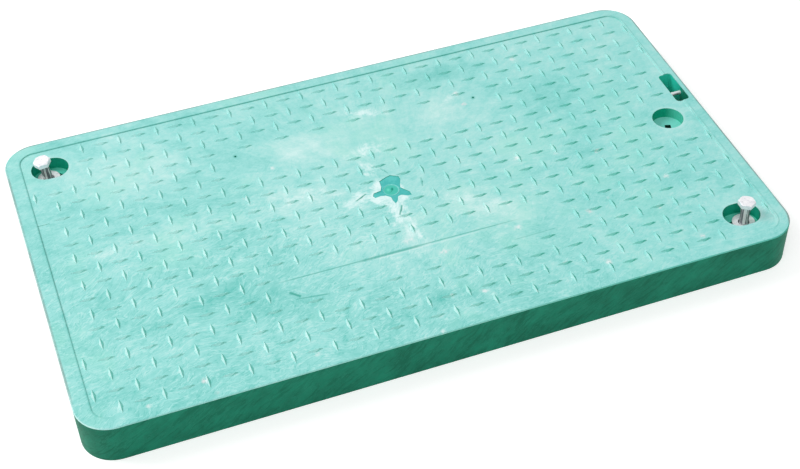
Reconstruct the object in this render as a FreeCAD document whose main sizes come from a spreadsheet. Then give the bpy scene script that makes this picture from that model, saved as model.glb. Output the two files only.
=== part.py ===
import FreeCAD, Part
import math
import os
import Sketcher

# A cover for an underground cable pit, moulded in one piece, with a steel lifting pin
# and two captive bolts. The origin is the centre of its underside, X runs along its
# length, Y towards its back edge and Z up. All sizes are in millimetres and degrees.
SIZES = {
    # The moulding's outside.
    "cover_length": 775.0,
    "cover_width": 440.5,
    "cover_height": 47.5,
    "corner_radius": 36.0,
    "side_draft": 0.8,
    "edge_bevel": 1.0,
    # The panel inside the border, which lies a little lower.
    "border_long_side": 15.0,
    "border_short_side": 16.0,
    "panel_shift": 0.8,
    "panel_depth": 1.0,
    "panel_radius": 17.0,
    # The bare strip beside the left border.
    "strip_width": 13.0,
    "strip_length": 169.0,
    "strip_depth": 0.4,
    # The wall, the top plate and the ribs below it.
    "skirt_thickness": 9.0,
    "plate_thickness": 9.0,
    "rib_thickness": 6.0,
    "rib_lift": 3.0,
    "ribs_across": 10,
    "ribs_along": 5,
    # The raised bars of the tread, which lie crosswise in turn on a square grid.
    "bar_pitch": 21.6,
    "bar_columns": 35,
    "bar_rows": 19,
    "grid_shift": 2.25,
    "bar_length": 19.0,
    "bar_width": 5.2,
    "bar_height": 1.6,
    "bar_crest": 11.0,
    "bar_margin": 0.1,
    # The two plain zones where no bars are, and the tag holes beside the back one.
    "plain_zone_length": 320.0,
    "plain_zone_width": 51.0,
    "plain_zone_offset": 100.5,
    "tag_hole_spacing": 288.0,
    "tag_hole_offset": 117.5,
    "tag_hole_diameter": 2.2,
    "tag_hole_depth": 4.0,
    # The pockets for the bolts, at the back left and the front right.
    "bolt_from_end": 47.5,
    "bolt_from_side": 46.75,
    "pocket_length": 41.5,
    "pocket_width": 34.3,
    "pocket_radius": 17.0,
    "pocket_depth": 15.0,
    "bolt_slot_length": 27.0,
    "bolt_slot_width": 13.0,
    "bolt_slot_radius": 6.4,
    "boss_wall": 5.0,
    "pocket_clear_x": 25.0,
    "pocket_clear_y": 31.5,
    # The round pocket near the right end, with a square hole in its floor.
    "round_from_end": 47.0,
    "round_y": 0.0,
    "round_diameter": 36.0,
    "round_depth": 13.0,
    "round_clear": 25.0,
    "drain_size": 7.0,
    "drain_x": 1.3,
    "drain_y": -0.6,
    "drain_turn": 73.0,
    # The lifting slot and the pin across it.
    "slot_from_end": 14.6,
    "slot_y": 48.2,
    "slot_length": 51.2,
    "slot_width": 16.4,
    "slot_radius": 4.5,
    "slot_clear_x": 14.0,
    "slot_clear_y": 50.0,
    "pin_diameter": 4.5,
    "pin_seat": 4.0,
    "pin_depth": 9.0,
    "pin_offset": -2.0,
    # The shallow star around the point where the mould was filled.
    "gate_x": 2.3,
    "gate_y": 0.4,
    "gate_reach": 25.7,
    "gate_depth": 0.6,
    "gate_clear_x": 53.0,
    "gate_clear_y": 30.0,
    "gate_clear_narrow": 8.0,
    # The bolts, raised unevenly in their pockets and leaning, and their washers.
    "head_sides": 6,
    "head_corners": 19.6,
    "head_top": 15.8,
    "head_height": 5.3,
    "shank_diameter": 10.0,
    "shank_length": 55.4,
    "shank_chamfer": 1.2,
    "tip_height_back_left": 0.6,
    "lean_back_left": 8.0,
    "lean_towards_back_left": 180.0,
    "head_spin_back_left": 0.0,
    "tip_height_front_right": 2.4,
    "lean_front_right": 2.0,
    "lean_towards_front_right": 60.0,
    "head_spin_front_right": 28.0,
    "washer_shift_back_left": -3.2,
    "washer_shift_front_right": 4.5,
    "washer_outer": 25.0,
    "washer_inner": 12.4,
    "washer_thickness": 2.2,
}

doc = FreeCAD.newDocument("cable_pit_cover")
sheet = doc.addObject("Spreadsheet::Sheet", "sizes")
for row, (alias, number) in enumerate(SIZES.items(), start=1):
    sheet.set(f"A{row}", alias)
    sheet.set(f"B{row}", str(number))
    sheet.setAlias(f"B{row}", alias)
doc.recompute()


def bound(expression):
    """The expression with each size's name pointing at its cell in the sheet."""
    words = []
    word = ""
    for letter in expression + " ":
        if letter.isalnum() or letter == "_":
            word += letter
            continue
        words.append(f"sizes.{word}" if word in SIZES else word)
        words.append(letter)
        word = ""
    return "".join(words).strip()


def value(expression):
    """The number that an expression of sizes gives now."""
    return float(sheet.evalExpression(expression))


def new_body(name):
    body = doc.addObject("PartDesign::Body", name)
    body.Label = name
    return body


def plane_of(body, role):
    """One of the body's own origin planes."""
    for item in body.Origin.OriginFeatures:
        if item.Role == role:
            return item
    raise ValueError(role)


def new_sketch(body, name, role="XY_Plane", offset="0"):
    """An empty sketch on an origin plane of the body, moved along the plane's normal."""
    sketch = body.newObject("Sketcher::SketchObject", name)
    sketch.AttachmentSupport = [(plane_of(body, role), "")]
    sketch.MapMode = "FlatFace"
    sketch.setExpression("AttachmentOffset.Base.z", bound(offset))
    return sketch


def dimension(sketch, name, expression, kind, *places):
    """A named driving dimension of the sketch, bound to the sheet."""
    number = sketch.addConstraint(Sketcher.Constraint(kind, *places, value(expression)))
    sketch.renameConstraint(number, name)
    sketch.setExpression(f"Constraints.{name}", bound(expression))


START, END, CENTRE = 1, 2, 3
ORIGIN = (-1, 1)


def place_point(sketch, name, geometry, point, x, y):
    """Bind a point's distances from the sketch's origin."""
    for axis, expression in (("X", x), ("Y", y)):
        if abs(value(expression)) < 1e-9:
            target = (geometry, point, -2) if axis == "X" else (geometry, point, -1)
            sketch.addConstraint(Sketcher.Constraint("PointOnObject", *target))
        elif value(expression) > 0:
            dimension(sketch, name + axis, expression, "Distance" + axis, *ORIGIN, geometry, point)
        else:
            minus = f"-({expression})"
            dimension(sketch, name + axis, minus, "Distance" + axis, geometry, point, *ORIGIN)


def draw_circle(sketch, x, y, diameter, name="circle"):
    centre = FreeCAD.Vector(value(x), value(y), 0)
    circle = sketch.addGeometry(Part.Circle(centre, FreeCAD.Vector(0, 0, 1), value(diameter) / 2))
    place_point(sketch, name, circle, CENTRE, x, y)
    dimension(sketch, name + "Diameter", diameter, "Diameter", circle)


def draw_rectangle(sketch, x, y, length, width, name="rectangle"):
    """A rectangle with sharp corners, centred on x, y."""
    left, right = value(f"{x}-({length})/2"), value(f"{x}+({length})/2")
    low, high = value(f"{y}-({width})/2"), value(f"{y}+({width})/2")
    corners = [(left, low), (right, low), (right, high), (left, high)]
    points = [FreeCAD.Vector(*corner, 0) for corner in corners]
    sides = [sketch.addGeometry(Part.LineSegment(points[i - 1], points[i])) for i in range(4)]
    for i in range(4):
        sketch.addConstraint(Sketcher.Constraint("Coincident", sides[i - 1], END, sides[i], START))
    for i in (0, 2):
        sketch.addConstraint(Sketcher.Constraint("Vertical", sides[i]))
    for i in (1, 3):
        sketch.addConstraint(Sketcher.Constraint("Horizontal", sides[i]))
    dimension(sketch, name + "Length", length, "DistanceX", sides[1], START, sides[1], END)
    dimension(sketch, name + "Width", width, "DistanceY", sides[2], START, sides[2], END)
    place_point(sketch, name, sides[2], END, f"{x}+({length})/2", f"{y}+({width})/2")


def draw_rounded_rectangle(sketch, x, y, length, width, radius, name="outline"):
    """A rectangle with round corners, centred on x, y."""
    middle_x, middle_y, r = value(x), value(y), value(radius)
    reach_x, reach_y = value(length) / 2 - r, value(width) / 2 - r
    turns = ((1, -1, -90), (1, 1, 0), (-1, 1, 90), (-1, -1, 180))
    arcs = []
    for side_x, side_y, start in turns:
        centre = FreeCAD.Vector(middle_x + side_x * reach_x, middle_y + side_y * reach_y, 0)
        circle = Part.Circle(centre, FreeCAD.Vector(0, 0, 1), r)
        arc = Part.ArcOfCircle(circle, math.radians(start), math.radians(start + 90))
        arcs.append(sketch.addGeometry(arc))
    for i in range(4):
        first, second = sketch.getPoint(arcs[i - 1], END), sketch.getPoint(arcs[i], START)
        side = sketch.addGeometry(Part.LineSegment(first, second))
        sketch.addConstraint(Sketcher.Constraint("Tangent", arcs[i - 1], END, side, START))
        sketch.addConstraint(Sketcher.Constraint("Tangent", side, END, arcs[i], START))
        sketch.addConstraint(Sketcher.Constraint("Horizontal" if i % 2 == 0 else "Vertical", side))
    for i in (1, 2, 3):
        sketch.addConstraint(Sketcher.Constraint("Equal", arcs[0], arcs[i]))
    dimension(sketch, name + "Radius", radius, "Radius", arcs[0])
    right_x, back_y = f"{x}+({length})/2-({radius})", f"{y}+({width})/2-({radius})"
    left_x, front_y = f"{x}-({length})/2+({radius})", f"{y}-({width})/2+({radius})"
    place_point(sketch, name + "BackRight", arcs[1], CENTRE, right_x, back_y)
    place_point(sketch, name + "FrontLeft", arcs[3], CENTRE, left_x, front_y)


def draw_turned_square(sketch, x, y, side, turn):
    """A square centred on x, y and turned about it, in degrees from the X axis."""
    middle, half = FreeCAD.Vector(value(x), value(y), 0), value(side) / 2
    spin = FreeCAD.Rotation(FreeCAD.Vector(0, 0, 1), value(turn))
    corners = [FreeCAD.Vector(half * a, half * b, 0) for a, b in ((-1, -1), (1, -1), (1, 1), (-1, 1))]
    points = [middle + spin.multVec(corner) for corner in corners]
    sides = [sketch.addGeometry(Part.LineSegment(points[i - 1], points[i])) for i in range(4)]
    circle = sketch.addGeometry(Part.Circle(middle, FreeCAD.Vector(0, 0, 1), half * math.sqrt(2)), True)
    for i in range(4):
        sketch.addConstraint(Sketcher.Constraint("Coincident", sides[i - 1], END, sides[i], START))
        sketch.addConstraint(Sketcher.Constraint("PointOnObject", sides[i], START, circle))
    for i in (1, 2, 3):
        sketch.addConstraint(Sketcher.Constraint("Equal", sides[0], sides[i]))
    place_point(sketch, "centre", circle, CENTRE, x, y)
    dimension(sketch, "side", side, "Distance", sides[1])
    number = sketch.addConstraint(Sketcher.Constraint("Angle", sides[1], math.radians(value(turn))))
    sketch.renameConstraint(number, "turn")
    sketch.setExpression("Constraints.turn", bound(f"({turn})*1deg"))


def pad(body, sketch, name, length, towards=1, taper="0"):
    feature = body.newObject("PartDesign::Pad", name)
    feature.Profile = sketch
    feature.setExpression("Length", bound(length))
    feature.Reversed = towards < 0
    feature.setExpression("TaperAngle", bound(taper))
    doc.recompute()
    return feature


def pocket(body, sketch, name, length, towards=-1):
    """Cut the sketch into the body, downwards unless towards is 1."""
    before = body.Shape.Volume
    feature = body.newObject("PartDesign::Pocket", name)
    feature.Profile = sketch
    feature.Refine = False
    feature.setExpression("Length", bound(length))
    feature.Reversed = towards > 0
    doc.recompute()
    if not body.Shape.Volume < before:
        raise RuntimeError(f"{name} cuts nothing")
    return feature


def pattern(body, feature, name, axis, length, count):
    """Repeat a feature along a sketch axis, over a length, both bound to the sheet."""
    row = body.newObject("PartDesign::LinearPattern", name)
    row.Originals = [feature]
    row.Direction = (feature.Profile[0], [axis])
    row.setExpression("Length", bound(length))
    row.setExpression("Occurrences", bound(count))
    body.Tip = row
    doc.recompute()
    return row


# The moulding: a tapered blank with a softened top edge and a slightly lower panel.
moulding = new_body("moulding")
outline = new_sketch(moulding, "outline", offset="cover_height")
draw_rounded_rectangle(outline, "0", "0", "cover_length", "cover_width", "corner_radius")
doc.recompute()
blank = pad(moulding, outline, "blank", "cover_height", towards=-1, taper="-side_draft")

top_edges = [
    f"Edge{number}"
    for number, edge in enumerate(blank.Shape.Edges, start=1)
    if edge.BoundBox.ZMin > value("cover_height") - 0.01
]
softened = moulding.newObject("PartDesign::Chamfer", "softened_edge")
softened.Base = (blank, top_edges)
softened.setExpression("Size", bound("edge_bevel"))
doc.recompute()

PANEL_LENGTH = "(cover_length-2*border_short_side)"
PANEL_WIDTH = "(cover_width-2*border_long_side)"
panel = new_sketch(moulding, "panel_outline", offset="cover_height")
draw_rounded_rectangle(panel, "panel_shift", "0", PANEL_LENGTH, PANEL_WIDTH, "panel_radius")
pocket(moulding, panel, "panel", "panel_depth")

# The underside is hollow, with a skirt all round.
INNER_LENGTH = "(cover_length-2*skirt_thickness)"
INNER_WIDTH = "(cover_width-2*skirt_thickness)"
PLATE_UNDERSIDE = "(cover_height-panel_depth-plate_thickness)"
hollow_outline = new_sketch(moulding, "hollow_outline")
inner_radius = "corner_radius-skirt_thickness"
draw_rounded_rectangle(hollow_outline, "0", "0", INNER_LENGTH, INNER_WIDTH, inner_radius)
pocket(moulding, hollow_outline, "hollow", PLATE_UNDERSIDE, towards=1)

# Under each bolt pocket a boss stands down to the seat.
BOLTS = {"back_left": (-1, 1), "front_right": (1, -1)}
BOLT_X, BOLT_Y = "(cover_length/2-bolt_from_end)", "(cover_width/2-bolt_from_side)"
PANEL_TOP = "(cover_height-panel_depth)"
POCKET_FLOOR = "(cover_height-panel_depth-pocket_depth)"
boss_outline = new_sketch(moulding, "boss_outline")
for place, (side_x, side_y) in BOLTS.items():
    x, y = f"({side_x}*{BOLT_X})", f"({side_y}*{BOLT_Y})"
    size = ("(pocket_length+2*boss_wall)", "(pocket_width+2*boss_wall)", "(pocket_radius+boss_wall)")
    draw_rounded_rectangle(boss_outline, x, y, *size, name=place)
pad(moulding, boss_outline, "bosses", PANEL_TOP)

# The round pocket hangs below the plate as a cup, and the slot has a box of ribs.
ROUND_X = "(cover_length/2-round_from_end)"
SLOT_X = "(cover_length/2-slot_from_end)"
ROUND_FLOOR = "(cover_height-panel_depth-round_depth)"
cup_outline = new_sketch(moulding, "cup_outline", offset=f"{ROUND_FLOOR}-boss_wall")
draw_circle(cup_outline, ROUND_X, "round_y", "(round_diameter+2*boss_wall)")
pad(moulding, cup_outline, "cup", "round_depth+boss_wall")
slot_box = new_sketch(moulding, "slot_box_outline", offset="rib_lift")
box_length, box_width = "(slot_width+2*boss_wall)", "(slot_length+2*boss_wall)"
draw_rectangle(slot_box, SLOT_X, "slot_y", box_length, box_width)
pad(moulding, slot_box, "slot_box", f"{PANEL_TOP}-rib_lift")

# Ribs run both ways under the plate and stop a little above the seat.
CELL_LENGTH = f"(({INNER_LENGTH}-ribs_across*rib_thickness)/(ribs_across+1))"
CELL_WIDTH = f"(({INNER_WIDTH}-ribs_along*rib_thickness)/(ribs_along+1))"
ACROSS_SPAN = f"(({CELL_LENGTH}+rib_thickness)*(ribs_across-1))"
ALONG_SPAN = f"(({CELL_WIDTH}+rib_thickness)*(ribs_along-1))"
RIB_HEIGHT = f"({PLATE_UNDERSIDE}-rib_lift)"
rib_across = new_sketch(moulding, "rib_across_outline", offset="rib_lift")
rib_reach = f"({INNER_WIDTH}+skirt_thickness)"
draw_rectangle(rib_across, f"(0-{ACROSS_SPAN}/2)", "0", "rib_thickness", rib_reach)
first_across = pad(moulding, rib_across, "rib_across", RIB_HEIGHT)
pattern(moulding, first_across, "ribs_across_all", "H_Axis", ACROSS_SPAN, "ribs_across")
rib_along = new_sketch(moulding, "rib_along_outline", offset="rib_lift")
rib_reach = f"({INNER_LENGTH}+skirt_thickness)"
draw_rectangle(rib_along, "0", f"(0-{ALONG_SPAN}/2)", rib_reach, "rib_thickness")
first_along = pad(moulding, rib_along, "rib_along", RIB_HEIGHT)
pattern(moulding, first_along, "ribs_along_all", "V_Axis", ALONG_SPAN, "ribs_along")

# The bolt pockets, and the slotted hole through the floor of each.
pocket_outline = new_sketch(moulding, "pocket_outline", offset="cover_height")
bolt_slot_outline = new_sketch(moulding, "bolt_slot_outline", offset="cover_height")
for place, (side_x, side_y) in BOLTS.items():
    x, y = f"({side_x}*{BOLT_X})", f"({side_y}*{BOLT_Y})"
    size = ("pocket_length", "pocket_width", "pocket_radius")
    draw_rounded_rectangle(pocket_outline, x, y, *size, name=place)
    size = ("bolt_slot_length", "bolt_slot_width", "bolt_slot_radius")
    draw_rounded_rectangle(bolt_slot_outline, x, y, *size, name=place)
pocket(moulding, pocket_outline, "bolt_pockets", "panel_depth+pocket_depth")
pocket(moulding, bolt_slot_outline, "bolt_slots", "cover_height")

# The round pocket and the small square hole in its floor.
round_outline = new_sketch(moulding, "round_outline", offset="cover_height")
draw_circle(round_outline, ROUND_X, "round_y", "round_diameter")
pocket(moulding, round_outline, "round_pocket", "panel_depth+round_depth")
drain_outline = new_sketch(moulding, "drain_outline", offset="cover_height")
drain = (f"({ROUND_X}+drain_x)", "(round_y+drain_y)", "drain_size", "drain_turn")
draw_turned_square(drain_outline, *drain)
pocket(moulding, drain_outline, "drain", "cover_height")

# The lifting slot goes right through, with a seat in each side wall for the pin's ends.
slot_outline = new_sketch(moulding, "slot_outline", offset="cover_height")
slot_size = ("slot_width", "slot_length", "slot_radius")
draw_rounded_rectangle(slot_outline, SLOT_X, "slot_y", *slot_size)
pocket(moulding, slot_outline, "lifting_slot", "cover_height")
PIN_LENGTH = "(slot_width+2*pin_seat)"
PIN_START = f"({SLOT_X}-{PIN_LENGTH}/2)"
PIN_Y = "(slot_y+pin_offset)"
PIN_Z = "(cover_height-pin_depth)"
seat_outline = new_sketch(moulding, "pin_seat_outline", role="YZ_Plane", offset=PIN_START)
draw_circle(seat_outline, PIN_Y, PIN_Z, "pin_diameter")
pocket(moulding, seat_outline, "pin_seats", PIN_LENGTH, towards=1)

# The tag holes, the bare strip and the shallow star around the gate.
tag_holes = new_sketch(moulding, "tag_hole_outline", offset="cover_height")
for side in (-1, 1):
    x = f"(grid_shift+{side}*tag_hole_spacing/2)"
    draw_circle(tag_holes, x, "tag_hole_offset", "tag_hole_diameter", name=f"hole{side + 1}")
pocket(moulding, tag_holes, "tag_holes", "panel_depth+tag_hole_depth")
strip = new_sketch(moulding, "strip_outline", offset=PANEL_TOP)
strip_x = "(panel_shift-cover_length/2+border_short_side+strip_width/2)"
draw_rectangle(strip, strip_x, "0", "strip_width", "strip_length")
pocket(moulding, strip, "strip", "strip_depth")

# The star's outline, as angles from X and shares of its reach, round the gate.
STAR = (
    (113, 0.77), (87, 0.87), (74, 0.96), (51, 0.93), (41, 0.79), (28, 0.56), (3, 0.42), (-16, 0.57),
    (-26, 0.77), (-39, 0.92), (-46, 0.79), (-56, 0.53), (-74, 0.49), (-86, 0.69), (-97, 0.87),
    (-105, 0.64), (-111, 0.45), (-144, 0.42), (-160, 0.58), (-164, 0.83), (-174, 0.87), (-185, 0.78),
    (-196, 0.46), (-225, 0.48),
)
star = new_sketch(moulding, "star_outline", offset=PANEL_TOP)
star.setExpression("AttachmentOffset.Base.x", bound("gate_x"))
star.setExpression("AttachmentOffset.Base.y", bound("gate_y"))
corners = []
for angle, share in STAR:
    reach = share * value("gate_reach")
    turn = math.radians(angle)
    corners.append(FreeCAD.Vector(reach * math.cos(turn), reach * math.sin(turn), 0))
sides = [star.addGeometry(Part.LineSegment(corners[i - 1], corners[i])) for i in range(len(corners))]
for i in range(len(sides)):
    star.addConstraint(Sketcher.Constraint("Coincident", sides[i - 1], END, sides[i], START))
pocket(moulding, star, "star", "gate_depth")


def bar_faces(x, y, lengthwise):
    """The lozenge that one bar covers on the panel, and its faces up to a level crest."""
    tip, side, crest = value("bar_length") / 2, value("bar_width") / 2, value("bar_crest") / 2
    base, top = value(PANEL_TOP), value(PANEL_TOP) + value("bar_height")

    def point(along, across, z):
        if lengthwise:
            return FreeCAD.Vector(x + along, y + across, z)
        return FreeCAD.Vector(x - across, y + along, z)

    ring = [point(a, b, base) for a, b in ((-tip, 0), (0, -side), (tip, 0), (0, side))]
    left, right = point(-crest, 0, top), point(crest, 0, top)
    faces = [(ring[0], ring[1], left), (ring[3], ring[0], left), (ring[1], ring[2], right)]
    faces += [(ring[2], ring[3], right), (ring[1], right, left), (ring[3], left, right)]
    outline = Part.makePolygon(ring + ring[:1])
    return outline, [Part.Face(Part.makePolygon([*face, face[0]])) for face in faces]


def clear_zones():
    """The places without bars, each as its centre and half its size along X and Y."""
    zones = []
    for side in (-1, 1):
        middle = (value("grid_shift"), side * value("plain_zone_offset"))
        zones.append((*middle, value("plain_zone_length") / 2, value("plain_zone_width") / 2))
    for side_x, side_y in BOLTS.values():
        middle = (side_x * value(BOLT_X), side_y * value(BOLT_Y))
        zones.append((*middle, value("pocket_clear_x"), value("pocket_clear_y")))
    round_clear = value("round_clear")
    zones.append((value(ROUND_X), value("round_y"), round_clear, round_clear))
    zones.append((value(SLOT_X), value("slot_y"), value("slot_clear_x"), value("slot_clear_y")))
    narrow = value("gate_clear_narrow")
    zones.append((value("gate_x"), value("gate_y"), value("gate_clear_x"), narrow))
    zones.append((value("gate_x"), value("gate_y"), narrow, value("gate_clear_y")))
    strip_half = value("strip_width") / 2
    zones.append((value(strip_x), 0, strip_half, value("strip_length") / 2))
    return zones


def bar_fits(x, y, half_x, half_y, zones):
    """Whether a bar of this half size stays on the panel and out of every zone."""
    edge_x = value(PANEL_LENGTH) / 2 - value("bar_margin")
    edge_y = value(PANEL_WIDTH) / 2 - value("bar_margin")
    if abs(x - value("panel_shift")) + half_x > edge_x or abs(y) + half_y > edge_y:
        return False
    for middle_x, middle_y, zone_x, zone_y in zones:
        if abs(x - middle_x) < zone_x + half_x and abs(y - middle_y) < zone_y + half_y:
            return False
    return True


def tread_grid():
    """Each bar's middle and whether it lies along X, as every second one does."""
    pitch = value("bar_pitch")
    columns, rows = int(value("bar_columns")), int(value("bar_rows"))
    long_half, short_half = value("bar_length") / 2, value("bar_width") / 2
    zones = clear_zones()
    for column in range(columns):
        for row in range(rows):
            x = value("grid_shift") + (column - (columns - 1) / 2) * pitch
            y = (row - (rows - 1) / 2) * pitch
            lengthwise = (column + row) % 2 == 0
            reach = (long_half, short_half) if lengthwise else (short_half, long_half)
            if bar_fits(x, y, *reach, zones):
                yield x, y, lengthwise


def top_face(shape):
    """The panel's own face, the largest flat one at the panel's height."""
    height = value(PANEL_TOP)
    level = [
        face
        for face in shape.Faces
        if face.BoundBox.ZLength < 0.001 and abs(face.BoundBox.ZMin - height) < 0.001
    ]
    return max(level, key=lambda face: face.Area)


def with_tread(shape):
    """The moulding with each bar raised from its panel, as one closed skin."""
    panel_face = top_face(shape)
    outer = panel_face.OuterWire
    holes = [wire for wire in panel_face.Wires if not wire.isSame(outer)]
    skin = [face for face in shape.Faces if not face.isSame(panel_face)]
    for x, y, lengthwise in tread_grid():
        outline, faces = bar_faces(x, y, lengthwise)
        outline.reverse()
        holes.append(outline)
        skin += faces
    skin.append(Part.Face([outer, *holes]))
    sewn = Part.Compound(skin)
    sewn.sewShape()
    return Part.Solid(sewn.Shells[0])


cover = doc.addObject("Part::Feature", "cover")
cover.Label = "cover"
cover.Shape = with_tread(moulding.Shape)


def primitive(kind, name, **sizes):
    """A primitive shape whose sizes are bound to the sheet."""
    thing = doc.addObject(kind, name)
    for size, expression in sizes.items():
        thing.setExpression(size, bound(expression))
    return thing


def stand_at(thing, x, y, z, lean="0", towards="0", spin="0"):
    """Put a thing at x, y, z, spun about its own axis and leaning towards an angle from X."""
    axis = f"vector(0-sin(({towards})*1deg); cos(({towards})*1deg); 0)"
    tilt = f"rotation({axis}; ({lean})*1deg)"
    turn = f"rotation(vector(0; 0; 1); ({spin})*1deg)"
    place = f"placement(vector({x}; {y}; {z}); {tilt}*{turn})"
    thing.setExpression("Placement", bound(place))


# The lifting pin is a plain steel rod, moulded into the two side walls of the slot.
lift_pin = primitive("Part::Cylinder", "lift_pin", Radius="pin_diameter/2", Height=PIN_LENGTH)
lift_pin.Label = "lift_pin"
stand_at(lift_pin, PIN_START, PIN_Y, PIN_Z, lean="90")


def make_washer(place, x, y):
    """A flat round washer on the floor of its pocket."""
    disc = primitive(
        "Part::Cylinder", f"washer_disc_{place}", Radius="washer_outer/2", Height="washer_thickness"
    )
    hole = primitive(
        "Part::Cylinder", f"washer_hole_{place}", Radius="washer_inner/2", Height="washer_thickness"
    )
    washer = doc.addObject("Part::Cut", f"washer_{place}")
    washer.Base, washer.Tool = disc, hole
    washer.Label = f"washer_{place}"
    stand_at(washer, x, y, POCKET_FLOOR)


def make_bolt(place, x, y, z, lean, towards, spin):
    """A bolt whose shank leans through its washer, with the middle of its tip at x, y, z."""
    tip = primitive(
        "Part::Cone",
        f"tip_{place}",
        Radius1="shank_diameter/2-shank_chamfer",
        Radius2="shank_diameter/2",
        Height="shank_chamfer",
    )
    shank = primitive(
        "Part::Cylinder",
        f"shank_{place}",
        Radius="shank_diameter/2",
        Height="shank_length-shank_chamfer",
    )
    stand_at(shank, "0", "0", "shank_chamfer")
    hexagon = primitive(
        "Part::Prism", f"head_blank_{place}", Circumradius="head_corners/2", Height="head_height"
    )
    hexagon.setExpression("Polygon", bound("head_sides"))
    turned = primitive(
        "Part::Cone",
        f"head_turned_{place}",
        Radius1="head_top/2+head_height*tan(60deg)",
        Radius2="head_top/2",
        Height="head_height",
    )
    head = doc.addObject("Part::Common", f"head_{place}")
    head.Base, head.Tool = hexagon, turned
    stand_at(head, "0", "0", "shank_length", spin=spin)
    bolt = doc.addObject("Part::MultiFuse", f"bolt_{place}")
    bolt.Shapes = [tip, shank, head]
    bolt.Label = f"bolt_{place}"
    stand_at(bolt, x, y, z, lean, towards)


for place, (side_x, side_y) in BOLTS.items():
    lean, towards, spin = f"lean_{place}", f"lean_towards_{place}", f"head_spin_{place}"
    washer_x = f"({side_x}*{BOLT_X}+washer_shift_{place})"
    washer_y = f"({side_y}*{BOLT_Y})"
    tip_z = f"tip_height_{place}"
    run = f"(({POCKET_FLOOR}-{tip_z})*tan({lean}*1deg))"
    tip_x = f"({washer_x}-{run}*cos({towards}*1deg))"
    tip_y = f"({washer_y}-{run}*sin({towards}*1deg))"
    make_washer(place, washer_x, washer_y)
    make_bolt(place, tip_x, tip_y, tip_z, lean, towards, spin)

doc.recompute()

NODES = ["cover", "lift_pin"]
NODES += [f"{piece}_{place}" for piece in ("bolt", "washer") for place in BOLTS]
for thing in doc.Objects:
    if "Invalid" in thing.State or "Error" in thing.State:
        raise RuntimeError(f"{thing.Name} did not compute: {thing.State}")
os.makedirs("parts", exist_ok=True)
for label in NODES:
    piece = doc.getObjectsByLabel(label)[0]
    if piece.Shape.isNull() or not piece.Shape.isValid() or len(piece.Shape.Solids) != 1:
        raise RuntimeError(f"{label} is not one sound solid")
    piece.Shape.exportStep(f"parts/{label}.step")
    print(label, round(piece.Shape.Volume), "mm3")
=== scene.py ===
import bmesh
import bpy
import math
from mathutils import Matrix, Vector


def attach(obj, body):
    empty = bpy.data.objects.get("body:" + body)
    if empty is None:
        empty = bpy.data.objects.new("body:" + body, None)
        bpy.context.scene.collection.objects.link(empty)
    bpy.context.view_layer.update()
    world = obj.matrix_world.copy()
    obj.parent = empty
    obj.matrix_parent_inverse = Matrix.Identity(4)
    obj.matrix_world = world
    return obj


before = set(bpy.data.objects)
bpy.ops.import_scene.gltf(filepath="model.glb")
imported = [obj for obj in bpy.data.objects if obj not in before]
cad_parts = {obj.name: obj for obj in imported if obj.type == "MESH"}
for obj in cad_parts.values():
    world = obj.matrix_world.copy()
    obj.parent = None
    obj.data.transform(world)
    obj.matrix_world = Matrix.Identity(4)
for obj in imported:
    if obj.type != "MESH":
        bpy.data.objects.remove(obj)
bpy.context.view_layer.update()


# The camera stands in front and to the left, at about chest height above a cover on the
# ground, and looks down at its middle. Its shift is only the photograph's own framing.
def turned_to(place, back):
    """The transform of a camera or lamp at a place, with its back towards a direction."""
    return Matrix.Translation(place) @ back.to_track_quat("Z", "Y").to_matrix().to_4x4()


view_turn, view_rise, view_roll = math.radians(-20.6261), math.radians(43.7496), math.radians(-0.5683)
view_target, view_distance = Vector((0.020276, -0.08427, 0.0475)), 1.66339
camera = bpy.data.objects.new("camera", bpy.data.cameras.new("camera"))
camera.data.lens = 70.48
camera.data.sensor_width = 36.0
camera.data.shift_x, camera.data.shift_y = -0.04295, 0.0006
towards_camera = Vector(
    (
        math.sin(view_turn) * math.cos(view_rise),
        -math.cos(view_turn) * math.cos(view_rise),
        math.sin(view_rise),
    )
)
stand = view_target + towards_camera * view_distance
camera.matrix_world = turned_to(stand, towards_camera) @ Matrix.Rotation(view_roll, 4, "Z")
bpy.context.scene.collection.objects.link(camera)
bpy.context.scene.camera = camera
bpy.context.scene.view_settings.view_transform = "Standard"


# The floor is one large pale sheet of paper under the cover, which keeps its soft shadow,
# and the room round it is white. Both look whiter than the light that they give.
def new_object(name, mesh):
    """An object in the scene, made of a finished bmesh."""
    made = bpy.data.objects.new(name, bpy.data.meshes.new(name))
    mesh.to_mesh(made.data)
    mesh.free()
    bpy.context.scene.collection.objects.link(made)
    return made


def new_material(name):
    """A material with its node tree and its shader."""
    material = bpy.data.materials.new(name)
    material.use_nodes = True
    return material, material.node_tree, material.node_tree.nodes["Principled BSDF"]


def node(tree, kind, inputs=None, **settings):
    """A shader node with its settings, its inputs given as numbers or as other sockets."""
    made = tree.nodes.new("ShaderNode" + kind)
    for setting, value in settings.items():
        setattr(made, setting, value)
    for socket, value in (inputs or {}).items():
        if isinstance(value, bpy.types.NodeSocket):
            tree.links.new(value, made.inputs[socket])
        else:
            made.inputs[socket].default_value = value
    return made


def calc(tree, operation, first, second=0.0, third=0.0):
    """One sum on numbers."""
    made = node(tree, "Math", {0: first, 1: second, 2: third}, operation=operation)
    return made.outputs[0]


def seen_white(tree):
    """1 for the rays that show the backdrop: the camera's, and those in metal and gloss."""
    path = node(tree, "LightPath").outputs
    shown = calc(tree, "MAXIMUM", path["Is Camera Ray"], path["Is Glossy Ray"])
    return calc(tree, "MAXIMUM", shown, path["Is Transmission Ray"])


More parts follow.
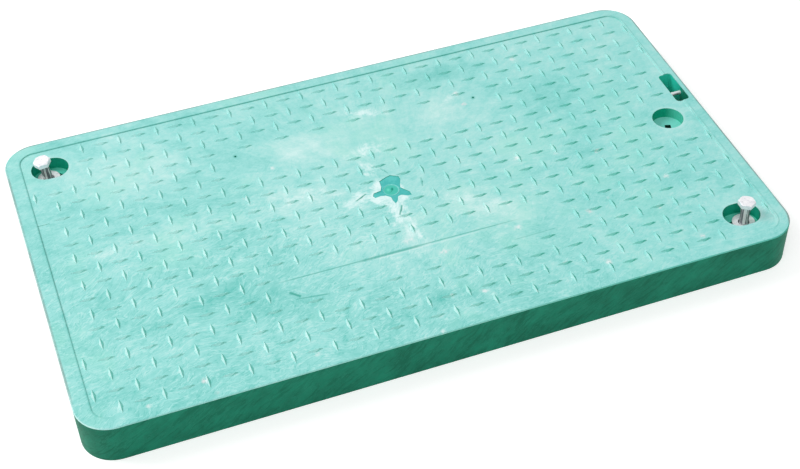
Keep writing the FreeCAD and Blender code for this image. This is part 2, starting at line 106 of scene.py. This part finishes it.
mesh = bmesh.new()
bmesh.ops.create_grid(mesh, x_segments=1, y_segments=1, size=6.0)
floor = new_object("floor", mesh)
paper, tree, shader = new_material("white_paper")
paper_white, paper_glow = (0.82, 0.82, 0.82, 1.0), 0.45
white = (1.0, 1.0, 1.0, 1.0)
shader.inputs["Base Color"].default_value = paper_white
shader.inputs["Roughness"].default_value = 0.9
shader.inputs["Emission Color"].default_value = white
tree.links.new(calc(tree, "MULTIPLY", seen_white(tree), paper_glow), shader.inputs["Emission Strength"])
floor.data.materials.append(paper)

world = bpy.data.worlds.new("white_room")
bpy.context.scene.world = world
world.use_nodes = True
tree = world.node_tree
room = tree.nodes["Background"]
room_light, room_glow = 0.5, 0.5
room.inputs["Color"].default_value = white
strength = calc(tree, "MULTIPLY_ADD", seen_white(tree), room_glow, room_light)
tree.links.new(strength, room.inputs["Strength"])

# A broad soft window stands behind the left end, and gives the bars their dark sides. A
# weaker lamp fills in from the front. Each has its place and size in metres, and its power.
lamps = [("window", (-2.9, 2.0, 3.3), 2.2, 112.0), ("fill", (-0.5, -1.5, 2.3), 1.8, 21.0)]
for name, place, size, power in lamps:
    lamp = bpy.data.objects.new(name, bpy.data.lights.new(name, "AREA"))
    lamp.data.size = size
    lamp.data.energy = power
    lamp.matrix_world = turned_to(Vector(place), Vector(place))
    bpy.context.scene.collection.objects.link(lamp)


# The cover is one moulding of foamed plastic, drafted outside and ribbed below. The melt ran
# out from the middle of the top, and left fine streaks there, paler where the sun reaches.
def fade(tree, value, start, end, low=0.0, high=1.0):
    """A smooth step of a value, from low at start to high at end."""
    inputs = {"Value": value, "From Min": start, "From Max": end, "To Min": low, "To Max": high}
    return node(tree, "MapRange", inputs, interpolation_type="SMOOTHSTEP").outputs[0]


def joined(tree, operation, masks):
    """Several masks, taken one after another into one sum."""
    total = masks[0]
    for mask in masks[1:]:
        total = calc(tree, operation, total, mask)
    return total


def product(tree, masks):
    """All of several masks at once."""
    return joined(tree, "MULTIPLY", masks)


def most(tree, masks):
    """The largest of several masks."""
    return joined(tree, "MAXIMUM", masks)


def strongest(tree, masks):
    """The largest of several masks, each taken with its own strength."""
    return most(tree, [calc(tree, "MULTIPLY", mask, strength) for mask, strength in masks])


def from_mean(tree, noise):
    """Soft noise with its mean moved to 0."""
    return calc(tree, "SUBTRACT", noise, 0.5)


def vector_calc(tree, operation, first, second=(0.0, 0.0, 0.0), third=(0.0, 0.0, 0.0)):
    """One sum on vectors."""
    inputs = {0: first, 1: second, 2: third}
    return node(tree, "VectorMath", inputs, operation=operation).outputs[0]


def length_of(tree, vector):
    """How long a vector is."""
    return node(tree, "VectorMath", {0: vector}, operation="LENGTH").outputs["Value"]


def parts_of(tree, vector):
    """The three numbers of a vector."""
    return node(tree, "SeparateXYZ", {0: vector}).outputs


def colour(red, green, blue):
    """A colour as seen on a screen, 0 to 255, in the renderer's linear values."""
    linear = []
    for channel in (red, green, blue):
        share = channel / 255
        linear.append(share / 12.92 if share <= 0.04045 else ((share + 0.055) / 1.055) ** 2.4)
    return (*linear, 1.0)


def blend(tree, share, first, second):
    """One colour turning into another."""
    inputs = {0: share, 6: first, 7: second}
    return node(tree, "Mix", inputs, data_type="RGBA", clamp_factor=True).outputs[2]


def cloud(tree, place, scale, detail, roughness=0.55):
    """Soft noise at a place, round its mean of 0.5."""
    inputs = {"Vector": place, "Scale": scale, "Detail": detail, "Roughness": roughness}
    return node(tree, "TexNoise", inputs).outputs


def stirred(tree, place, scale, reach):
    """A place moved about by soft noise, by up to half its reach."""
    noise = cloud(tree, place, scale, 2.0)["Color"]
    centred = vector_calc(tree, "SUBTRACT", noise, (0.5, 0.5, 0.5))
    return vector_calc(tree, "MULTIPLY_ADD", centred, (reach, reach, 0.0), place)


def drawn_out(tree, place, turn, along, across):
    """A place whose noise becomes streaks: its grains along and across a turned X axis, in mm."""
    scale = (1000 / along, 1000 / across, 1000 / across)
    inputs = {"Vector": place, "Rotation": (0.0, 0.0, math.radians(-turn))}
    turned = node(tree, "Mapping", inputs, vector_type="POINT").outputs[0]
    return vector_calc(tree, "MULTIPLY", turned, scale)


def patch(tree, place, middle, reach, turn, edge):
    """1 inside a soft oval on the top, 0 outside it. Its sizes are in millimetres."""
    inputs = {
        "Vector": place,
        "Location": (middle[0] / 1000, middle[1] / 1000, 0.0),
        "Rotation": (0.0, 0.0, math.radians(turn)),
        "Scale": (reach[0] / 1000, reach[1] / 1000, 1000.0),
    }
    local = node(tree, "Mapping", inputs, vector_type="TEXTURE").outputs[0]
    return fade(tree, length_of(tree, local), 1.0, 1.0 - edge)


def stroke(tree, place, start, end, width):
    """1 along a straight line on the top, with soft sides and ends. In millimetres."""
    run, rise = end[0] - start[0], end[1] - start[1]
    inputs = {
        "Vector": place,
        "Location": ((start[0] + end[0]) / 2000, (start[1] + end[1]) / 2000, 0.0),
        "Rotation": (0.0, 0.0, math.atan2(rise, run)),
        "Scale": (math.hypot(run, rise) / 2000, width / 2000, 1.0),
    }
    local = node(tree, "Mapping", inputs, vector_type="TEXTURE").outputs[0]
    sides = parts_of(tree, vector_calc(tree, "ABSOLUTE", local))
    return product(tree, [fade(tree, sides["X"], 1.0, 0.7), fade(tree, sides["Y"], 1.0, 0.0)])


def beyond(tree, place, middle, half, radius):
    """How far a place lies outside a rounded rectangle, in metres, and less than 0 inside."""
    near = vector_calc(tree, "ABSOLUTE", vector_calc(tree, "SUBTRACT", place, (middle, 0.0, 0.0)))
    past = vector_calc(tree, "SUBTRACT", near, (half[0] - radius, half[1] - radius, 1.0))
    outside = length_of(tree, vector_calc(tree, "MAXIMUM", past))
    sides = parts_of(tree, past)
    inner = calc(tree, "MINIMUM", calc(tree, "MAXIMUM", sides["X"], sides["Y"]), 0.0)
    return calc(tree, "SUBTRACT", calc(tree, "ADD", outside, inner), radius)


# The moulding's own sizes are in metres. Places on the top are in millimetres from its middle.
panel_level, star_level = 0.0465, 0.0459
panel_shift, panel_half, panel_corner = 0.0008, (0.3715, 0.20525), 0.017
cover_half, cover_corner = (0.3875, 0.22025), 0.036
gate = (0.0023, 0.0004)
round_pocket, lifting_slot = (340.5, 0), (372.9, 48.2)
bolt_pockets = [(-340, 173.5), (340, -173.5)]

plastic, tree, shader = new_material("foamed_plastic")
coordinates = node(tree, "TexCoord").outputs
place = coordinates["Object"]
split = parts_of(tree, place)
height = split["Z"]
normal = parts_of(tree, coordinates["Normal"])
facing = normal["Z"]
above_star = fade(tree, height, panel_level - 0.00008, panel_level + 0.00002)
looks_up = most(tree, [fade(tree, facing, 0.3, 0.6), above_star])
on_top = calc(tree, "MULTIPLY", looks_up, fade(tree, height, 0.0440, 0.0452))
on_bars = fade(tree, height, panel_level - 0.0001, panel_level + 0.0001)
past_panel = beyond(tree, place, panel_shift, panel_half, panel_corner)
past_edge = beyond(tree, place, 0.0, cover_half, cover_corner)
towards_back_right = calc(tree, "ADD", split["X"], split["Y"])

# Streaks run out from the gate, where the mould was filled, and curl. They are noise on the
# direction from the gate and on the distance from it.
curled = stirred(tree, stirred(tree, place, 5.0, 0.05), 40.0, 0.012)
from_gate = vector_calc(tree, "SUBTRACT", curled, (*gate, 0.0))
from_gate = vector_calc(tree, "MULTIPLY", from_gate, (1.0, 1.0, 0.0))
reach = length_of(tree, from_gate)
ray = vector_calc(tree, "NORMALIZE", from_gate)


def streaks(tree, count, length, detail=3.0, roughness=0.6):
    """Noise drawn out along the rays from the gate."""
    along = node(tree, "CombineXYZ", {"Z": calc(tree, "MULTIPLY", reach, length)}).outputs[0]
    turned = vector_calc(tree, "MULTIPLY_ADD", ray, (count,) * 3, along)
    return cloud(tree, turned, 1.0, detail, roughness)["Fac"]


away = fade(tree, reach, 0.02, 0.16)
broad, fine = streaks(tree, 9.0, 9.0), streaks(tree, 42.0, 42.0, 5.0, 0.72)
lengthwise = drawn_out(tree, stirred(tree, place, 11.0, 0.03), -8, 19, 3.4)
brushed = cloud(tree, lengthwise, 1.0, 5.0, 0.72)["Fac"]
clouds = cloud(tree, stirred(tree, place, 30.0, 0.02), 24.0, 7.0, 0.7)["Fac"]
blotches = cloud(tree, stirred(tree, place, 120.0, 0.006), 85.0, 4.0, 0.65)["Fac"]
crumbs = cloud(tree, place, 330.0, 2.0, 0.6)["Fac"]
twisted = stirred(tree, stirred(tree, place, 7.0, 0.08), 40.0, 0.012)


def scratches(tree, turn, along, across, width):
    """Fine curled lines, drawn out mostly one way, where soft noise passes its mean."""
    grain = drawn_out(tree, twisted, turn, along, across)
    noise = cloud(tree, grain, 1.0, 3.0, 0.6)["Fac"]
    return fade(tree, calc(tree, "ABSOLUTE", from_mean(tree, noise)), width, 0.0)


pale_lines, dark_lines = scratches(tree, 14, 30, 6.5, 0.032), scratches(tree, 38, 24, 6.0, 0.028)

# A paler, smoother field lies round the gate, and deeper bands lie outside it. Each band and
# pale patch has its middle, its reach, its turn in degrees and how soft its edge is.
ragged = stirred(tree, stirred(tree, place, 9.0, 0.045), 45.0, 0.024)
field = patch(tree, ragged, (25, 6), (205, 165), 0.0, 0.3)
deep_bands = [
    ((140, 168), (95, 26), -8, 0.8),
    ((232, 88), (62, 52), -40, 0.8),
    ((-165, -124), (74, 40), -24, 0.7),
    ((-20, -178), (110, 16), 4, 0.9),
    ((-205, -92), (52, 36), 20, 0.8),
]
pale_patches = [
    ((-255, 130), (100, 52), -18, 0.9),
    ((-65, 98), (72, 42), -14, 0.9),
    ((-95, 22), (72, 26), -10, 0.9),
    ((-250, 20), (110, 26), -4, 0.9),
    ((108, 112), (44, 30), 40, 0.9),
    ((95, -62), (80, 26), -34, 0.9),
    ((0, -70), (26, 40), 0, 0.9),
]
deepened = most(tree, [patch(tree, ragged, *band) for band in deep_bands])
lightened = most(tree, [patch(tree, ragged, *spot) for spot in pale_patches])
on_border = fade(tree, past_panel, -0.001, 0.002)
scratched = fade(tree, towards_back_right, 0.12, -0.20, 0.60, 1.0)
scratched = calc(tree, "MULTIPLY", scratched, fade(tree, split["Y"], -0.03, 0.12, 1.0, 0.45))

# The top's tone runs from 0, deep, to 1, bleached. Each mask and each noise adds its share.
tone = calc(tree, "MULTIPLY_ADD", field, 0.09, 0.38)
tone = calc(tree, "MULTIPLY_ADD", deepened, -0.11, tone)
tone = calc(tree, "MULTIPLY_ADD", lightened, 0.11, tone)
tone = calc(tree, "ADD", tone, fade(tree, split["X"], 0.06, 0.34, 0.0, 0.07))
tone = calc(tree, "ADD", tone, fade(tree, split["Y"], 0.02, 0.20, 0.0, 0.06))
tone = calc(tree, "MULTIPLY_ADD", on_border, -0.03, tone)
tone = calc(tree, "MULTIPLY_ADD", calc(tree, "MULTIPLY", pale_lines, scratched), 0.17, tone)
tone = calc(tree, "MULTIPLY_ADD", calc(tree, "MULTIPLY", dark_lines, scratched), -0.13, tone)
for noise, share in ((broad, 0.30), (fine, 0.26)):
    tone = calc(tree, "MULTIPLY_ADD", product(tree, [from_mean(tree, noise), away]), share, tone)
for noise, share in ((brushed, 0.14), (clouds, 0.47), (blotches, 0.34), (crumbs, 0.12)):
    tone = calc(tree, "MULTIPLY_ADD", from_mean(tree, noise), share, tone)

deep_top, plain_top, light_top = colour(88, 189, 179), colour(156, 222, 217), colour(220, 246, 243)
green_top, bleached_top, right_top = colour(162, 230, 211), colour(207, 238, 233), colour(118, 222, 216)
ramp = node(tree, "ValToRGB", {"Fac": tone})
stops = ramp.color_ramp.elements
stops[0].position, stops[0].color = 0.05, deep_top
stops[1].position, stops[1].color = 0.88, light_top
middle_stop = stops.new(0.42)
middle_stop.color = plain_top
hue = cloud(tree, ragged, 11.0, 3.0, 0.6)["Fac"]
top_colour = blend(tree, fade(tree, hue, 0.52, 0.72, 0.0, 0.26), ramp.outputs["Color"], green_top)
bleached = calc(tree, "MULTIPLY", lightened, fade(tree, blotches, 0.35, 0.65, 0.05, 0.26))
top_colour = blend(tree, bleached, top_colour, bleached_top)
top_colour = blend(tree, fade(tree, split["X"], 0.05, 0.30, 0.0, 0.13), top_colour, right_top)

# The melt left white splashes and rays where it first met the mould. The last number of
# each is its strength.
splash_white = colour(231, 252, 251)
splashes = [
    ((-4, -4), (27, 28), 0, 0.4, 1.20),
    ((-33, 0), (34, 25), -4, 1.0, 1.15),
    ((-84, 20), (84, 24), -12, 1.0, 0.48),
    ((-10, -15), (26, 18), -10, 1.0, 1.15),
    ((-3, -36), (22, 38), 2, 1.0, 1.15),
    ((2, -70), (28, 40), 0, 1.0, 0.65),
    ((-9, 38), (18, 34), 14, 1.0, 0.90),
    ((2, 74), (40, 24), -8, 1.0, 0.80),
    ((24, 138), (44, 16), -12, 1.0, 0.95),
    ((-62, 98), (72, 40), -14, 1.0, 0.26),
]
rays = [
    ((0, -12), (-14, -62), 15, 0.90),
    ((4, -14), (9, -90), 15, 0.90),
    ((30, -18), (150, -86), 26, 0.50),
    ((48, -48), (114, -116), 20, 0.44),
    ((90, 90), (130, 138), 34, 0.32),
]
shaken = stirred(tree, stirred(tree, place, 30.0, 0.016), 130.0, 0.007)
splash_masks = [(patch(tree, shaken, *oval), strength) for *oval, strength in splashes]
splash_masks += [(stroke(tree, shaken, *line), strength) for *line, strength in rays]
splashed = strongest(tree, splash_masks)
torn = splashed
for noise, share in (
    (blotches, 1.9),
    (clouds, 1.3),
    (streaks(tree, 16.0, 26.0, 5.0, 0.75), 1.7),
    (crumbs, 0.6),
):
    torn = calc(tree, "MULTIPLY_ADD", from_mean(tree, noise), share, torn)
splash = product(tree, [fade(tree, torn, 0.30, 1.45), fade(tree, splashed, 0.0, 0.3)])
top_colour = blend(tree, calc(tree, "MULTIPLY", splash, 0.92), top_colour, splash_white)

# Grit and foot traffic left pale and pinkish specks, most of them near the front edge. The
# larger knocks have their own place and size.
pink_speck, pale_speck = colour(238, 226, 229), colour(243, 249, 249)
knocks = [
    (131, 131, 6),
    (152, 0, 5),
    (238, -23, 6),
    (108, -104, 7),
    (23, -111, 7),
    (263, -130, 6),
    (133, -173, 5),
    (4, -173, 5),
    (40, -178, 6),
    (-7, -83, 9),
    (196, -12, 5),
    (290, -88, 6),
    (190, -110, 6),
]
grit = {"Vector": stirred(tree, place, 60.0, 0.006), "Scale": 46.0, "Randomness": 1.0}
cells = node(tree, "TexVoronoi", grit).outputs
chance = parts_of(tree, cells["Color"])
wear = calc(tree, "MULTIPLY_ADD", fade(tree, split["Y"], -0.16, -0.212), 0.40, 0.035)
chosen = calc(tree, "LESS_THAN", chance["X"], wear)
specks = [calc(tree, "MULTIPLY", chosen, fade(tree, cells["Distance"], 0.24, 0.06))]
specks += [patch(tree, shaken, (x, y), (size, size * 0.8), 0.0, 1.0) for x, y, size in knocks]
speck = product(tree, [most(tree, specks), fade(tree, crumbs, 0.30, 0.60)])
tint = blend(tree, chance["Y"], pink_speck, pale_speck)
top_colour = blend(tree, calc(tree, "MULTIPLY", speck, 0.75), top_colour, tint)

# The sides of the bars get painted shade: those facing right and to the front, away from the window,
# are painted a deeper green, most at the right end. At the front left, the sides facing left and front get
# a pale painted highlight.
shaded_side, sunny_side = colour(74, 184, 163), colour(216, 247, 244)
leans_front = calc(tree, "MULTIPLY", normal["Y"], fade(tree, split["X"], -0.30, 0.10, -0.30, -0.62))
leans_away = calc(tree, "MULTIPLY_ADD", normal["X"], 1.5, leans_front)
painted_side_shade = product(tree, [fade(tree, leans_away, -0.05, 0.55), on_bars])
side_shade_strength = fade(tree, split["X"], -0.30, 0.30, 0.62, 1.0)
side_shade_strength = calc(tree, "MULTIPLY", side_shade_strength, fade(tree, split["Y"], 0.0, 0.20, 0.90, 0.62))
top_colour = blend(tree, calc(tree, "MULTIPLY", painted_side_shade, side_shade_strength), top_colour, shaded_side)
left_flanks = fade(tree, normal["X"], -0.2, -0.5)
front_flanks = fade(tree, normal["Y"], -0.1, -0.4, 0.0, 0.3)
sunny = product(tree, [most(tree, [left_flanks, front_flanks]), on_bars])
sunny = product(tree, [sunny, fade(tree, towards_back_right, 0.05, -0.25, 0.0, 0.5)])
top_colour = blend(tree, sunny, top_colour, sunny_side)

# The mould's inserts left fine dark lines on the front plain zone and round the star, and
# two pale ones. Dirt lies round the two small holes at the back.
line_green, line_pale = colour(52, 160, 144), colour(222, 246, 244)
insert_lines = [
    ((-172, -91.4), (124, -93.2), 3.0, 0.60),
    ((-72, -92.2), (8, -92.8), 6.0, 0.72),
    ((-149, -108), (-138, -119), 5.6, 0.85),
    ((-146, -120), (-108, -125.5), 3.4, 0.60),
    ((94, -121), (150, -120.5), 2.6, 0.35),
    ((-40.5, -3.2), (-24.5, 5.2), 3.2, 0.85),
    ((-3.4, -41.5), (5.4, -25.5), 3.2, 0.85),
    ((40.0, 9.0), (36.4, -7.0), 3.0, 0.50),
    ((2.0, 40.0), (9.0, 27.0), 3.0, 0.45),
    ((-102, -121.5), (-82, -121.5), 2.4, 0.30),
]
dirty_holes = [((-142, 117.5), 0.0), ((146, 117.0), -20)]
traces = [(stroke(tree, place, *line), strength) for *line, strength in insert_lines]
traces += [(patch(tree, place, middle, (3.6, 4.2), turn, 0.9), 0.75) for middle, turn in dirty_holes]
trace = calc(tree, "MULTIPLY", strongest(tree, traces), fade(tree, clouds, 0.25, 0.5, 0.7, 1.0))
top_colour = blend(tree, trace, top_colour, line_green)
pale_crescent = stroke(tree, place, (-145, -105), (-130, -118), 4.0)
pale_crescent = calc(tree, "MULTIPLY", pale_crescent, fade(tree, blotches, 0.4, 0.7))
ridge = most(tree, [stroke(tree, place, (-56, -95.4), (76, -95.6), 2.8), pale_crescent])
top_colour = blend(tree, calc(tree, "MULTIPLY", ridge, 0.45), top_colour, line_pale)

# The step round the panel gets a painted shadow at the left and the back. At the right it gets a
# painted highlight, with a painted dark line beside it.
step_shadow, step_highlight, step_dark_line = colour(58, 168, 154), colour(206, 242, 238), colour(70, 172, 158)
left_or_back = most(tree, [fade(tree, split["X"], -0.352, -0.366), fade(tree, split["Y"], 0.186, 0.200)])
painted_step_shadow = product(tree, [fade(tree, calc(tree, "ABSOLUTE", past_panel), 0.0017, 0.0004), left_or_back])
top_colour = blend(tree, calc(tree, "MULTIPLY", painted_step_shadow, 0.34), top_colour, step_shadow)
at_right = fade(tree, split["X"], 0.355, 0.366)
painted_step_highlight = product(tree, [fade(tree, past_panel, -0.0030, -0.0012), fade(tree, past_panel, 0.0016, 0.0002)])
painted_step_highlight = product(tree, [painted_step_highlight, at_right, fade(tree, clouds, 0.35, 0.6)])
top_colour = blend(tree, calc(tree, "MULTIPLY", painted_step_highlight, 0.28), top_colour, step_highlight)
painted_step_dark_line = product(tree, [fade(tree, past_panel, 0.0010, 0.0018), fade(tree, past_panel, 0.0032, 0.0024)])
painted_step_dark_line = product(tree, [painted_step_dark_line, at_right, fade(tree, blotches, 0.35, 0.6)])
top_colour = blend(tree, calc(tree, "MULTIPLY", painted_step_dark_line, 0.35), top_colour, step_dark_line)

# The rims of the pockets are painted paler.
rim_pale = colour(208, 241, 240)
rims = [(patch(tree, place, round_pocket, (23, 23), 0.0, 0.2), 0.28)]
rims += [(patch(tree, place, middle, (25.5, 22), 0.0, 0.2), 0.35) for middle in bolt_pockets]
paler_rim = calc(tree, "MULTIPLY", strongest(tree, rims), fade(tree, clouds, 0.3, 0.6))
top_colour = blend(tree, paler_rim, top_colour, rim_pale)

# The star lies lower and keeps its own deeper colour, greener inside the gate's ring.
star_deep, star_light = colour(70, 182, 178), colour(92, 198, 192)
ring_inside, ring_rim = colour(76, 194, 176), colour(150, 226, 218)
nub_glint, nub_shade = colour(104, 220, 196), colour(18, 142, 122)
near_gate = length_of(tree, vector_calc(tree, "SUBTRACT", place, (*gate, 0.046)))
in_star = fade(tree, height, panel_level - 0.00004, panel_level - 0.00008)
in_star = calc(tree, "MULTIPLY", in_star, fade(tree, near_gate, 0.034, 0.030))
star_colour = blend(tree, fade(tree, blotches, 0.35, 0.65), star_deep, star_light)
in_ring = patch(tree, place, (2.1, 1.2), (8.6, 8.6), 0.0, 0.16)
star_colour = blend(tree, in_ring, star_colour, ring_inside)
on_rim = patch(tree, place, (2.6, 1.0), (9.8, 9.8), 0.0, 0.12)
on_rim = product(tree, [on_rim, calc(tree, "SUBTRACT", 1.0, in_ring)])
star_colour = blend(tree, calc(tree, "MULTIPLY", on_rim, 0.60), star_colour, ring_rim)
# A painted highlight lies by the nub, and a painted shade in a small hollow beside it.
star_colour = blend(tree, patch(tree, place, (-0.6, 2.6), (2.6, 3.4), -20, 0.9), star_colour, nub_glint)
star_colour = blend(tree, patch(tree, place, (3.8, 2.0), (2.0, 4.0), -20, 0.8), star_colour, nub_shade)
top_colour = blend(tree, in_star, top_colour, star_colour)

# The drafted sides were brushed at a slant and never bleached. The underside is duller.
wall_deep, wall_light, fibre_light = colour(2, 104, 79), colour(22, 135, 106), colour(70, 170, 142)
underside = colour(34, 128, 104)
slant, grain = math.radians(-50), (260.0, 90.0, 40.0)
tilted = {"Vector": stirred(tree, place, 12.0, 0.04), "Rotation": (0.0, slant, 0.0)}
slanted = node(tree, "Mapping", tilted, vector_type="POINT").outputs[0]
fibres = cloud(tree, vector_calc(tree, "MULTIPLY", slanted, grain), 1.0, 4.0, 0.7)["Fac"]
mottle = calc(tree, "MULTIPLY", cloud(tree, place, 34.0, 4.0, 0.6)["Fac"], 0.50)
mottle = calc(tree, "MULTIPLY_ADD", fibres, 0.50, mottle)
wall_colour = blend(tree, fade(tree, mottle, 0.36, 0.66), wall_deep, wall_light)
bright_fibres = fade(tree, calc(tree, "ABSOLUTE", from_mean(tree, fibres)), 0.02, 0.0, 0.0, 0.22)
wall_colour = blend(tree, bright_fibres, wall_colour, fibre_light)
wall_colour = blend(tree, fade(tree, facing, -0.3, -0.8), wall_colour, underside)

# Inside the pockets the plastic is fresh, deeper in the bolts' pockets, and paler on floors. The slot's
# walls are painted shade at the front and painted light at the back; the round pocket's walls are
# painted light where they face left and painted shade elsewhere.
fresh_deep, fresh_light = colour(4, 150, 122), colour(18, 168, 138)
slot_shade, slot_sunlit = colour(8, 126, 98), colour(52, 214, 190)
round_shade, round_sunlit, round_floor = colour(8, 164, 132), colour(80, 198, 174), colour(126, 220, 208)
floor_deep, floor_light, drain_shade = colour(64, 186, 164), colour(98, 208, 188), colour(0, 62, 46)
inside = product(tree, [fade(tree, past_edge, -0.0015, -0.0030), fade(tree, facing, -0.5, -0.2)])
inside = product(tree, [inside, fade(tree, height, 0.0270, 0.0284)])
in_slot = patch(tree, place, lifting_slot, (13, 36), 0.0, 0.1)
in_round = patch(tree, place, round_pocket, (23, 23), 0.0, 0.1)
fresh_and_painted_shading = blend(tree, fade(tree, clouds, 0.3, 0.7), fresh_deep, fresh_light)
slot_wall = blend(tree, fade(tree, split["Y"], 0.036, 0.060), slot_shade, slot_sunlit)
fresh_and_painted_shading = blend(tree, in_slot, fresh_and_painted_shading, slot_wall)
round_wall = blend(tree, fade(tree, normal["X"], -0.25, -0.85), round_shade, round_sunlit)
fresh_and_painted_shading = blend(tree, in_round, fresh_and_painted_shading, round_wall)
wall_colour = blend(tree, most(tree, [inside, in_slot]), wall_colour, fresh_and_painted_shading)
on_floor = calc(tree, "MULTIPLY", fade(tree, facing, 0.5, 0.9), fade(tree, height, 0.0440, 0.0430))
floor_colour = blend(tree, fade(tree, clouds, 0.35, 0.65), floor_deep, floor_light)
floor_colour = blend(tree, in_round, floor_colour, round_floor)
wall_colour = blend(tree, on_floor, wall_colour, floor_colour)
# The drain's bore, below the floor, is painted dark as shade.
drain_shade_mask = patch(tree, place, (341.8, -0.6), (7, 7), 0.0, 0.1)
drain_shade_mask = calc(tree, "MULTIPLY", drain_shade_mask, fade(tree, height, 0.0335, 0.0332))
wall_colour = blend(tree, drain_shade_mask, wall_colour, drain_shade)
surface = blend(tree, on_top, wall_colour, top_colour)

# The cover's own outer edge is painted grey, except at the front.
edge_grey = colour(126, 142, 136)
left_side = fade(tree, split["X"], -0.383, -0.386)
left_side = calc(tree, "MULTIPLY", left_side, fade(tree, split["Y"], -0.19, -0.15, 0.0, 0.8))
right_side, back_side = fade(tree, split["X"], 0.376, 0.384), fade(tree, split["Y"], 0.210, 0.217)
outer_side = most(tree, [right_side, back_side, left_side])
grey_edge = product(tree, [fade(tree, past_edge, -0.0030, -0.0016), outer_side])
grey_edge = product(tree, [grey_edge, fade(tree, clouds, 0.32, 0.58, 0.3, 1.0), fade(tree, height, 0.0435, 0.0462)])
surface = blend(tree, calc(tree, "MULTIPLY", grey_edge, 0.75), surface, edge_grey)
tree.links.new(surface, shader.inputs["Base Color"])
shader.inputs["Roughness"].default_value = 0.55
shader.inputs["Specular IOR Level"].default_value = 0.14
relief = calc(tree, "MULTIPLY_ADD", brushed, 0.5, cloud(tree, place, 900.0, 2.0)["Fac"])
bump = node(tree, "Bump", {"Height": relief, "Strength": 0.3, "Distance": 0.0002})
tree.links.new(bump.outputs[0], shader.inputs["Normal"])

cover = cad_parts["cover"]
cover.material_slots[0].material = plastic


# The gate left a low ring with a nub in the star, and four short bars stand askew round it.
# All of them are part of the moulding, 0.4 to 0.8 mm high.
def moulded_piece(name, mesh):
    """A finished moulded detail, which rides with the cover."""
    bmesh.ops.remove_doubles(mesh, verts=mesh.verts, dist=0.000001)
    bmesh.ops.recalc_face_normals(mesh, faces=mesh.faces)
    piece = new_object(name, mesh)
    piece.data.materials.append(plastic)
    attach(piece, "root")


ring_middle, ring_radius = Vector((0.0021, 0.0012, star_level)), 0.0089
ring_half, ring_height, ring_root = 0.0007, 0.0004, -0.0001
ring_profile = [
    (-ring_half, ring_root),
    (-ring_half / 2, ring_height),
    (ring_half / 2, ring_height),
    (ring_half, ring_root),
]
nub_place, nub_radius = (0.0005, -0.0008, star_level), 0.0016
nub_form = Matrix.Diagonal((1.0, 0.8, 0.3, 1.0))
mesh = bmesh.new()
points = [mesh.verts.new(ring_middle + Vector((ring_radius + out, 0.0, up))) for out, up in ring_profile]
rim = [mesh.edges.new((points[i - 1], points[i])) for i in range(len(points))]
bmesh.ops.spin(
    mesh,
    geom=points + rim,
    cent=ring_middle,
    axis=(0.0, 0.0, 1.0),
    angle=2 * math.pi,
    steps=48,
    use_merge=True,
)
bmesh.ops.create_icosphere(
    mesh, subdivisions=3, radius=nub_radius, matrix=Matrix.Translation(nub_place) @ nub_form
)
moulded_piece("gate_mark", mesh)

# Each askew bar has its middle, its turn in degrees and its length, in millimetres.
askew_bars = [(-32.2, 0.9, 33, 13), (1.6, -33.2, 60, 12), (38.4, 1.4, 74, 11), (6.0, 33.5, -55, 9)]
askew_half_width, askew_height, askew_crest = 0.0016, 0.0008, 0.25
mesh = bmesh.new()
for x, y, turn, length in askew_bars:
    lozenge = (
        Matrix.Translation((x / 1000, y / 1000, panel_level))
        @ Matrix.Rotation(math.radians(turn), 4, "Z")
        @ Matrix.Diagonal((length / 2000, askew_half_width, askew_height, 1.0))
    )
    bmesh.ops.create_cone(
        mesh, cap_ends=True, segments=4, radius1=1.0, radius2=askew_crest, depth=2.0, matrix=lozenge
    )
moulded_piece("skew_bars", mesh)

# The lifting pin, the bolts and the washers are zinc plated steel, bright and a little
# clouded by handling. The shanks are drawn bar, with darker streaks along them between pale bands of
# painted highlight.
zinc_dull, zinc_bright = colour(232, 233, 238), colour(252, 251, 253)
drawn_dark, shank_highlight = colour(116, 120, 126), colour(255, 254, 255)
zinc, tree, shader = new_material("zinc_plating")
coordinates = node(tree, "TexCoord").outputs
place = coordinates["Object"]
clouds = cloud(tree, place, 260.0, 3.0)["Fac"]
plating = blend(tree, fade(tree, clouds, 0.35, 0.7), zinc_dull, zinc_bright)
along_shank = vector_calc(tree, "MULTIPLY", place, (380.0, 380.0, 10.0))
draw_marks = cloud(tree, along_shank, 1.0, 2.0, 0.6)["Fac"]
drawn_and_highlighted = blend(tree, fade(tree, draw_marks, 0.44, 0.56), drawn_dark, shank_highlight)
height = parts_of(tree, place)["Z"]
facing = parts_of(tree, coordinates["Normal"])["Z"]
below_head, above_washer = fade(tree, height, 0.0556, 0.0548), fade(tree, height, 0.0338, 0.0346)
upright = fade(tree, calc(tree, "ABSOLUTE", facing), 0.6, 0.4)
on_shank = product(tree, [below_head, above_washer, upright])
tree.links.new(blend(tree, on_shank, plating, drawn_and_highlighted), shader.inputs["Base Color"])
tree.links.new(fade(tree, clouds, 0.3, 0.7, 0.24, 0.44), shader.inputs["Roughness"])
shader.inputs["Metallic"].default_value = 0.16
for name in ("lift_pin", "bolt_back_left", "bolt_front_right", "washer_back_left", "washer_front_right"):
    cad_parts[name].material_slots[0].material = zinc
